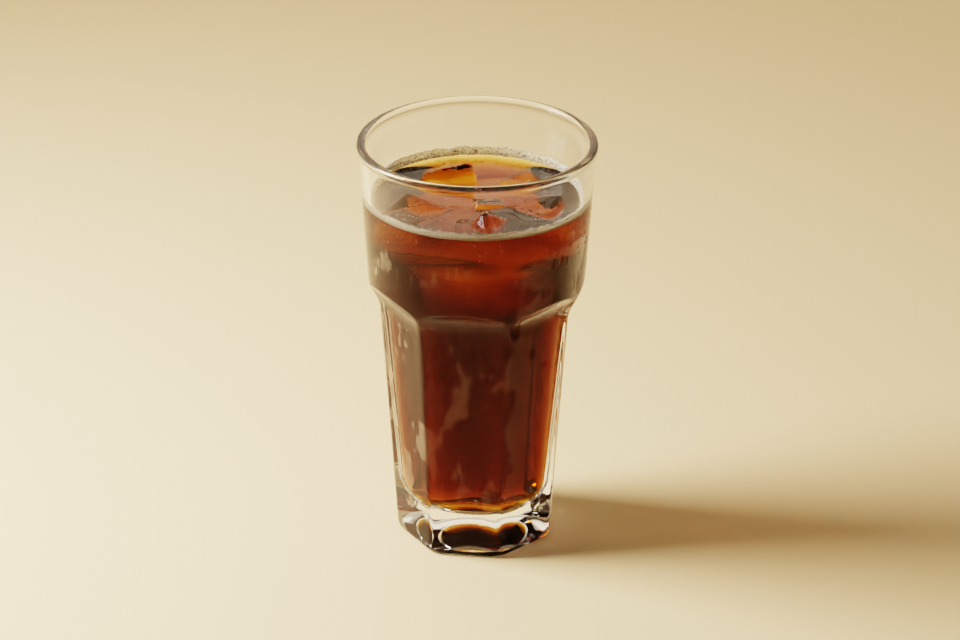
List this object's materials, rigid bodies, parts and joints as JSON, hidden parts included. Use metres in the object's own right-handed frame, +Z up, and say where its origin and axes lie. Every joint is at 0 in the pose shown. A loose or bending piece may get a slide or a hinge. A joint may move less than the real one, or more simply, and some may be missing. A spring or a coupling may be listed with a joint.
{
  "type": "iced cold brew coffee in a glass",
  "caption": "Cold brew coffee with floating ice and a ring of froth, in a tall clear tumbler with flat arched panels, a flared drum, a rounded lip and a thick base.",
  "frame": {"origin": "middle of the foot, on the surface that the glass stands on", "axes": "+Z up the glass's axis; -Y towards the side that looks almost straight at one flat panel"},
  "size_m": [0.086, 0.086, 0.1537],
  "materials": {
    "glass": "clear pressed glass",
    "coffee": "clear dark liquid",
    "ice": "wet melting ice",
    "foam": "fine wet froth",
    "water": "condensation"
  },
  "bodies": {
    "root": {"glass": "glass", "coffee": "coffee", "foam": "foam", "ice_1": "ice", "ice_2": "ice", "ice_3": "ice", "ice_4": "ice", "ice_5": "ice", "ice_6": "ice"}
  },
  "joints": []
}
